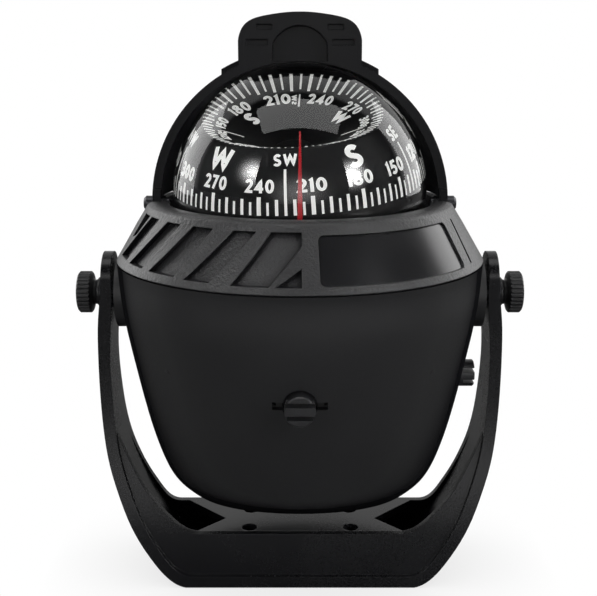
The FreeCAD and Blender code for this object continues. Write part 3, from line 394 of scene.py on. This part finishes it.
def arc(radius, start, end, steps, z=0.0):
    """An (r, z) arc centred on the axis at height z."""
    return oval(0.0, z, radius, radius, start, end, steps)


# ------------------------------------------------------------------ dome
DOME_R = 32.0
DOME_INNER_R = 30.0
DOME_BASE_Z = 85.0
SKIRT_ZS = (92.0, 97.0)     # stations up the straight wall
FLANGE_R = 35.5
FLANGE_TOP_Z = 87.5
FLANGE_CHAMFER = 0.1
FLANGE_FILLET = 0.3         # where the flange meets the wall


def build_dome():
    outer = [
        (FLANGE_R - FLANGE_CHAMFER, DOME_BASE_Z),
        (FLANGE_R, DOME_BASE_Z + FLANGE_CHAMFER),
        (FLANGE_R, FLANGE_TOP_Z - FLANGE_CHAMFER),
        (FLANGE_R - FLANGE_CHAMFER, FLANGE_TOP_Z),
        (DOME_R + FLANGE_FILLET, FLANGE_TOP_Z),
        (DOME_R, FLANGE_TOP_Z + FLANGE_FILLET),
    ]
    outer += [(DOME_R, z) for z in SKIRT_ZS] + arc(DOME_R, 0, 90, 72, DOME_Z)
    inner = arc(DOME_INNER_R, 90, 0, 60, DOME_Z)
    inner += [(DOME_INNER_R, z) for z in (*reversed(SKIRT_ZS), DOME_BASE_Z)]
    bm = lathe(outer + inner, 192, lined_from=len(outer))
    ob = new_object("dome_lens", bm, ["clear_acrylic", "acrylic_wetted_face"])
    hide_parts("dome")
    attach(ob, "housing")


build_dome()

# ------------------------------------------------------------------ card
# The card floats a few degrees out of level on its needle, as a magnet-loaded card does.
# It is a spherical band with a funnel-shaped dial sunk into its top.
BAND_R = 22.3
BAND_FOOT = -4.9            # elevation of the band's lower edge, degrees
SKIN = 0.8                  # thickness of the band
RIM_R, RIM_Z = 16.3, 14.1   # inner edge of the flat rim
BORE_R = 3.25
SLOPE = math.tan(math.radians(19.2))    # of the funnel
HEADING = 219.5             # value facing the reader
LEAN = Matrix.Rotation(math.radians(4.75), 3, "X") @ Matrix.Rotation(math.radians(-2.78), 3, "Y")
HUNG = Vector((-0.69, 1.06, 100.91))    # centre of the hanging card


def hang(point):
    """Takes a point of the level card, mm from its centre, to the hanging card, in metres."""
    return (LEAN @ Vector(point) + HUNG) * MM


def dish_z(r):
    return RIM_Z - (RIM_R - r) * SLOPE


def card_part(name, replaced, look, profile, segs, sharp_angle):
    bm = lathe(profile, segs)
    for vert in bm.verts:
        vert.co = hang(vert.co / MM)
    ob = new_object(name, bm, [look], sharp_angle)
    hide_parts(replaced)
    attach(ob, "card")


def shell_profile():
    rim_elevation = math.degrees(math.asin(RIM_Z / BAND_R))
    points = arc(BAND_R, BAND_FOOT, rim_elevation - 0.5, 44)
    points += [(17.2, RIM_Z - 0.02), (17.1, RIM_Z), (RIM_R + 0.1, RIM_Z), (RIM_R, RIM_Z - 0.04)]
    points += [(r, dish_z(r)) for r in (14.5, 12.0, 9.0, 6.0, 4.2, BORE_R)]
    # back along the underside
    points += [(BORE_R, dish_z(BORE_R) - 0.8), (10.0, dish_z(10.0) - 0.85), (16.8, 13.3)]
    return points + arc(BAND_R - SKIN, 38.0, BAND_FOOT - 0.15, 30)


# (r, z): the jewel cup with its domed cap, from the foot up and back inside
CAP_PROFILE = [
    (1.4, 2.1), (3.1, 2.1), (3.2, 2.3), (3.2, 9.45), (3.0, 9.75), (2.5, 10.0),
    (1.4, 10.12), (0.0, 10.15), (0.0, 3.75), (0.12, 3.7),
]
# (r, z): the float, which follows the dial's underside at its top
FLOAT_PROFILE = [
    (BORE_R, 4.0), (17.2, 4.0), (17.6, 4.2), (18.0, 5.0), (18.0, 7.4), (17.8, 7.9),
    (15.2, dish_z(15.2) - 0.95), (BORE_R, dish_z(BORE_R) - 0.85),
]

card_part("card_shell", "card_dial", "card_black", shell_profile(), 192, 28)
card_part("jewel_cap", "jewel_cup", "card_black", CAP_PROFILE, 64, 35)
card_part("float_ring", "card_float", "float_foam", FLOAT_PROFILE, 96, 35)

# ------------------------------------------------------------------ places on the card
# Markings are drawn in local mm: x along the scale, y up the band or out along the dial,
# h proud of the surface. A spot turns these into a place on the hanging card.


def band_spot(value, radius=BAND_R, up=0.0):
    """A spot up mm up the band at a scale value; x is measured on a circle of this radius."""
    def place(x, y, h):
        angle = math.radians(HEADING - value + math.degrees(x / radius))
        elevation = (up + y) / BAND_R
        r = BAND_R + h
        across = r * math.cos(elevation)
        return hang((across * math.sin(angle), -across * math.cos(angle),
                     r * math.sin(elevation)))
    return place


def dish_spot(value, radius, out=0.0):
    """A spot out mm from the axis; the value at HEADING lies on the far side."""
    def place(x, y, h):
        angle = math.radians(value - HEADING + math.degrees(x / radius))
        r = out + y
        z = dish_z(r) if r < RIM_R else RIM_Z
        return hang((r * math.sin(angle), r * math.cos(angle), z + h))
    return place


def bar(bm, place, width, y_span, h_span, steps, taper=0.0):
    """A thin raised bar centred on x = 0, narrowed by the share taper at its outer end."""
    y0, y1 = y_span
    columns = []
    for h in h_span:
        for x in (-width / 2, width / 2):
            columns.append([
                bm.verts.new(place(x * (1.0 - taper * j / steps), y0 + (y1 - y0) * j / steps, h))
                for j in range(steps + 1)])
    low0, low1, high0, high1 = columns
    for j in range(steps):
        k = j + 1
        bm.faces.new((high0[j], high1[j], high1[k], high0[k]))
        bm.faces.new((low0[j], low0[k], low1[k], low1[j]))
    bm.faces.new((low0[0], low1[0], high1[0], high0[0]))
    bm.faces.new((low0[-1], high0[-1], high1[-1], low1[-1]))
    for j in range(steps):
        k = j + 1
        bm.faces.new((low0[j], high0[j], high0[k], low0[k]))
        bm.faces.new((low1[j], low1[k], high1[k], high1[j]))


# ------------------------------------------------------------------ figures
def ring_path(cx, cy, rx, ry, steps=28):
    return oval(cx, cy, rx, ry, 0, 360, steps)[:-1]


# Heavy single-weight figures drawn as strokes in a box one unit high:
# character: (width, [(closed, points), ...])
SIX_TAIL = [(0.105, 0.36), (0.13, 0.55), (0.22, 0.74), (0.33, 0.88), (0.43, 0.99)]
NINE_TAIL = [(0.6 - x, 1.0 - y) for x, y in SIX_TAIL]
GLYPHS = {
    "0": (0.62, [(True, ring_path(0.31, 0.5, 0.21, 0.4))]),
    "1": (0.24, [(False, [(0.02, 0.8), (0.14, 0.9), (0.14, 0.0)])]),
    "2": (0.58, [(False, oval(0.28, 0.68, 0.19, 0.22, 168, -32, 14)
                  + [(0.13, 0.10), (0.58, 0.10)])]),
    "3": (0.56, [(False, oval(0.25, 0.71, 0.18, 0.19, 150, -78, 12)
                  + oval(0.25, 0.31, 0.21, 0.21, 72, -150, 14))]),
    "4": (0.64, [(False, [(0.45, 0.0), (0.45, 0.86), (0.11, 0.30), (0.64, 0.30)])]),
    "5": (0.56, [(False, [(0.52, 0.9), (0.17, 0.9), (0.13, 0.54)]
                  + oval(0.27, 0.33, 0.20, 0.23, 112, -145, 15))]),
    "6": (0.60, [(True, ring_path(0.31, 0.3, 0.2, 0.2, 22)), (False, SIX_TAIL)]),
    "7": (0.56, [(False, [(0.02, 0.9), (0.46, 0.9), (0.18, 0.0)])]),
    "8": (0.60, [(True, ring_path(0.3, 0.74, 0.16, 0.16, 20)),
                 (True, ring_path(0.3, 0.30, 0.21, 0.2, 24))]),
    "9": (0.60, [(True, ring_path(0.29, 0.7, 0.2, 0.2, 22)), (False, NINE_TAIL)]),
    "N": (0.86, [(False, [(0.11, 0.0), (0.11, 0.82), (0.75, 0.18), (0.75, 1.0)])]),
    "E": (0.62, [(False, [(0.62, 0.9), (0.11, 0.9), (0.11, 0.1), (0.62, 0.1)]),
                 (False, [(0.13, 0.5), (0.54, 0.5)])]),
    "S": (0.68, [(False, oval(0.35, 0.705, 0.215, 0.195, 32, 262, 18)
                  + oval(0.33, 0.295, 0.225, 0.195, 82, -148, 18))]),
    "W": (1.12, [(False, [(0.09, 1.0), (0.31, 0.17), (0.56, 0.88), (0.81, 0.17),
                          (1.03, 1.0)])]),
}
GLYPH_GAP = 0.13
PATH_STEP = 0.16        # longest straight piece of a stroke, so that it follows the surface
MITRE_LIMIT = 1.9


def dense_path(points, closed):
    dense = []
    count = len(points)
    for i in range(count if closed else count - 1):
        a, b = points[i], points[(i + 1) % count]
        k = max(1, int(math.ceil(math.dist(a, b) / PATH_STEP)))
        dense += [(a[0] + (b[0] - a[0]) * j / k, a[1] + (b[1] - a[1]) * j / k)
                  for j in range(k)]
    if not closed:
        dense.append(points[-1])
    return dense


def ribbon(bm, points, closed, width, place, h_span):
    """A raised stroke along points, with mitred corners."""
    points = dense_path(points, closed)
    count = len(points)
    low, high = h_span
    rows = []
    for i, (x, y) in enumerate(points):
        directions = []
        for a, b in ((i - 1, i), (i, i + 1)):
            if not closed and (a < 0 or b > count - 1):
                continue
            p, q = points[a % count], points[b % count]
            length = math.dist(p, q)
            directions.append(((q[0] - p[0]) / length, (q[1] - p[1]) / length))
        tx, ty = sum(d[0] for d in directions), sum(d[1] for d in directions)
        length = math.hypot(tx, ty)
        tx, ty = tx / length, ty / length
        mitre = 1.0
        if len(directions) == 2:
            cosine = abs(tx * directions[0][0] + ty * directions[0][1])
            mitre = min(1.0 / max(cosine, 0.2), MITRE_LIMIT)
        ox, oy = -ty * width / 2 * mitre, tx * width / 2 * mitre
        section = ((-1, low), (-1, high), (0, high), (1, high), (1, low))
        rows.append([bm.verts.new(place(x + s * ox, y + s * oy, h)) for s, h in section])
    for i in range(count if closed else count - 1):
        a, b = rows[i], rows[(i + 1) % count]
        for j in range(4):
            bm.faces.new((a[j], b[j], b[j + 1], a[j + 1]))
        bm.faces.new((a[0], a[4], b[4], b[0]))
    if not closed:
        bm.faces.new(list(reversed(rows[0])))
        bm.faces.new(rows[-1])


def word(bm, text, height, width, stroke, place, h_span):
    """Draws text centred on the spot, height by width mm; stroke is in glyph units."""
    advance = sum(GLYPHS[c][0] for c in text) + GLYPH_GAP * (len(text) - 1)
    x_scale = width / advance
    left = -advance / 2
    for c in text:
        glyph_width, paths = GLYPHS[c]
        for closed, points in paths:
            moved = [(left + x, y - 0.5) for x, y in points]
            ribbon(bm, moved, closed, stroke,
                   lambda x, y, h: place(x * x_scale, y * height, h), h_span)
        left += glyph_width + GLYPH_GAP


def numerals(y, height, widths, stroke):
    """Rows for the numbers every 30 degrees; widths are for one, two and three digits."""
    return [(v, str(v), y, height, widths[len(str(v)) - 1], stroke) for v in range(0, 360, 30)]


# ------------------------------------------------------------------ markings
# value, text, y of its centre, height, width, stroke
BAND_FIGURES = numerals(y=7.3, height=2.85, widths=(1.9, 4.2, 6.4), stroke=0.205) + [
    (0, "N", 12.0, 4.7, 4.4, 0.23), (90, "E", 12.0, 4.7, 3.3, 0.23),
    (180, "S", 12.0, 4.8, 3.9, 0.235), (270, "W", 12.0, 4.7, 5.9, 0.22),
    (45, "NE", 12.8, 2.6, 4.2, 0.22), (135, "SE", 12.8, 2.6, 3.8, 0.22),
    (225, "SW", 12.8, 2.6, 5.0, 0.22), (315, "NW", 12.8, 2.6, 5.4, 0.22),
]
DIAL_FIGURES = numerals(y=12.85, height=1.8, widths=(1.2, 2.6, 4.05), stroke=0.2) + [
    (0, "N", 10.2, 2.45, 2.2, 0.25), (90, "E", 10.2, 2.45, 1.7, 0.25),
    (180, "S", 10.2, 2.5, 2.0, 0.26), (270, "W", 10.2, 2.45, 3.1, 0.24),
]
# value, text, inner and outer ends of the dial's half-cardinal line
HALF_CARDINALS = [
    (45, "NE", 8.6, 12.9), (135, "SE", 8.6, 12.9),
    (225, "SW", 11.3, 13.6), (315, "NW", 8.6, 12.9),
]
TICK_FOOT = 1.05            # height of the band ticks' lower ends
SMALL_LETTERS_R = 12.6
SMALL_LETTERS_OFFSET = 0.78     # to the side of their line


def band_tick(value):
    """Width and top of a band tick: tall at half-cardinals, wide at every 30 degrees."""
    if value % 90 == 45:
        return 0.6, 10.85
    if value % 30 == 0:
        return 0.9, 5.05
    if value % 10 == 0:
        return 0.68, 4.55
    return 0.52, 3.95


def marking_object(name, bm):
    ob = new_object(name, bm, ["marking_white"])
    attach(ob, "card")


def build_band_markings():
    bm = bmesh.new()
    for value in range(0, 360, 5):
        width, top = band_tick(value)
        bar(bm, band_spot(value), width, (TICK_FOOT, top), (-0.05, 0.05), max(4, int(top)))
    for value, text, y, height, width, stroke in BAND_FIGURES:
        spot = band_spot(value, BAND_R * math.cos(y / BAND_R), y)
        word(bm, text, height, width, stroke, spot, (-0.03, 0.06))
    marking_object("band_markings", bm)


def build_dial_markings():
    bm = bmesh.new()
    # each tick runs up the funnel and on over the rim
    for value in range(0, 360, 5):
        width, inner = (0.46, 14.2) if value % 10 == 0 else (0.29, 14.5)
        bar(bm, dish_spot(value, 15.6), width, (inner, 16.22), (-0.03, 0.05), 3)
        bar(bm, dish_spot(value, 16.5), width, (16.32, 16.58), (-0.03, 0.04), 1)
    for value, text, r, height, width, stroke in DIAL_FIGURES:
        word(bm, text, height, width, stroke, dish_spot(value, r, r), (-0.02, 0.05))
    # half-cardinal lines, each with its small letters set sideways
    for value, text, inner, outer in HALF_CARDINALS:
        bar(bm, dish_spot(value, 11.0), 0.28, (inner, outer), (-0.02, 0.05), 3, taper=0.4)
        spot = dish_spot(value, SMALL_LETTERS_R, SMALL_LETTERS_R)
        word(bm, text, 0.75, 1.8, 0.22,
             lambda x, y, h: spot(y - SMALL_LETTERS_OFFSET, x, h), (-0.02, 0.04))
    marking_object("dial_markings", bm)


build_band_markings()
build_dial_markings()


# ------------------------------------------------------------------ stage
def make_floor():
    """White to the camera, with a painted contact shadow darker close to the product; grey to
    everything else.
    """
    look = Material("floor_pale")
    look.mottle(look.noise(scale=900.0), (0.16, 0.16, 0.16), (0.18, 0.18, 0.18))
    look.shade({"Roughness": 0.9})
    # painted shadow: ambient occlusion dims the floor's white close to the product
    ao_for_painted_shade = look.occlusion(distance=0.03, samples=8)
    strength = look.ramp(ao_for_painted_shade, span=(0.0, 1.0), to=(0.72, 1.0))
    white = look.add("ShaderNodeEmission", {"Color": (1, 1, 1), "Strength": strength})
    look.switch("Is Camera Ray", usual=look.bsdf, special=white)
    bpy.ops.mesh.primitive_plane_add(size=60.0, location=(0, 0, -0.0002))
    floor = bpy.context.object
    floor.name = "floor"
    floor.data.materials.append(look.mat)


def make_world():
    """White to the camera; to everything else a dark room, bright on the far side."""
    world = bpy.data.worlds.new("studio")
    bpy.context.scene.world = world
    world.use_nodes = True
    sky = Graph(world.node_tree, "ShaderNodeOutputWorld")
    white = sky.add("ShaderNodeBackground", {"Color": (1, 1, 1)})
    direction = sky.add("ShaderNodeTexCoord").outputs["Generated"]
    far = sky.add("ShaderNodeSeparateXYZ", {0: direction}).outputs["Y"]
    strength = sky.ramp(far, span=(0.18, 0.3), to=(0.02, 0.9), interpolation_type="SMOOTHSTEP")
    room = sky.add("ShaderNodeBackground", {"Strength": strength})
    sky.switch("Is Camera Ray", usual=room, special=white)


make_floor()
make_world()


# ------------------------------------------------------------------ lamps
# Lamps stand dist metres from the dome's centre, az degrees to the right of the
# reader's side and el degrees up.
def lamp_place(az, el, dist):
    a, e = math.radians(az), math.radians(el)
    toward = Vector((math.sin(a) * math.cos(e), -math.cos(a) * math.cos(e), math.sin(e)))
    return toward * dist + DOME_CENTRE


def area(name, az, el, dist, width, height, radiance):
    """A plain box lamp; radiance sets how bright it looks in a reflection."""
    place = lamp_place(az, el, dist)
    light = bpy.data.lights.new(name, "AREA")
    light.shape = "RECTANGLE"
    light.size = width
    light.size_y = height
    light.energy = radiance * math.pi * width * height
    ob = bpy.data.objects.new(name, light)
    ob.location = place
    aim = (DOME_CENTRE - place).to_track_quat("-Z", "Y")
    ob.rotation_euler = aim.to_matrix().to_euler()
    bpy.context.scene.collection.objects.link(ob)
    return ob


def glow(name, az, el, dist, inner, outer, half_height, spread, peak):
    """A soft lamp, brightest at its place and fading over spread (sideways, upwards).

    It reaches inner metres towards the reader's line and outer metres away from it.
    """
    a, e = math.radians(az), math.radians(el)
    place = lamp_place(az, el, dist)
    side = Vector((math.cos(a), math.sin(a), 0.0)) * (1.0 if az > 0 else -1.0)
    up = Vector((-math.sin(a) * math.sin(e), math.cos(a) * math.sin(e), math.cos(e)))
    corners = ((-inner, -half_height), (outer, -half_height),
               (outer, half_height), (-inner, half_height))
    bm = bmesh.new()
    bm.faces.new([bm.verts.new(place + side * u + up * v) for u, v in corners])
    ob = mesh_object(name, bm)

    look = Material(name + "_light", principled=False)
    position = look.add("ShaderNodeNewGeometry").outputs["Position"]
    offset = look.add("ShaderNodeVectorMath", {0: position, 1: tuple(place)},
                      operation="SUBTRACT").outputs[0]
    squares = []
    for axis, size in zip((side, up), spread):
        along = look.add("ShaderNodeVectorMath", {0: offset, 1: tuple(axis)},
                         operation="DOT_PRODUCT").outputs["Value"]
        share = look.math("DIVIDE", along, size)
        squares.append(look.math("MULTIPLY", share, share))
    falloff = look.math("EXPONENT", look.math("MULTIPLY", look.math("ADD", *squares), -1.0))
    strength = look.math("MULTIPLY", falloff, peak)
    look.surface(look.add("ShaderNodeEmission", {"Strength": strength}))
    ob.data.materials.append(look.mat)
    ob.visible_camera = False
    ob.visible_shadow = False


glow("lamp_left", az=-43.0, el=20.5, dist=0.9, inner=0.06, outer=0.34, half_height=0.3,
     spread=(0.13, 0.10), peak=30.0)
glow("lamp_right", az=47.5, el=18.5, dist=0.9, inner=0.08, outer=0.34, half_height=0.3,
     spread=(0.13, 0.10), peak=42.0)
area("top_box", az=0.0, el=78.0, dist=0.9, width=1.0, height=0.5, radiance=2.2)
for name, az in (("side_left", -122.0), ("side_right", 122.0)):
    side_box = area(name, az, el=12.0, dist=1.1, width=0.6, height=1.1, radiance=2.6)
    side_box.visible_diffuse = False
glow("front_fill", az=0.0, el=7.0, dist=1.8, inner=1.3, outer=1.3, half_height=0.8,
     spread=(0.6, 0.32), peak=3.0)


# ------------------------------------------------------------------ camera
def make_camera():
    """In front of the dome, looking slightly down."""
    data = bpy.data.cameras.new("camera")
    data.sensor_width = 36.0
    data.lens = 61.8211055
    data.shift_x = -0.00251256281
    data.clip_start = 0.01
    camera = bpy.data.objects.new("camera", data)
    camera.location = (0.0, -0.260, 0.13664)
    camera.rotation_euler = (math.radians(90.0 - 13.42), 0.0, 0.0)
    bpy.context.scene.collection.objects.link(camera)
    bpy.context.scene.camera = camera


make_camera()

scene = bpy.context.scene
scene.view_settings.view_transform = "Standard"
scene.view_settings.look = "None"
scene.cycles.use_denoising = True
scene.cycles.max_bounces = 16
scene.cycles.transmission_bounces = 12
scene.cycles.transparent_max_bounces = 16
scene.cycles.sample_clamp_indirect = 4.0
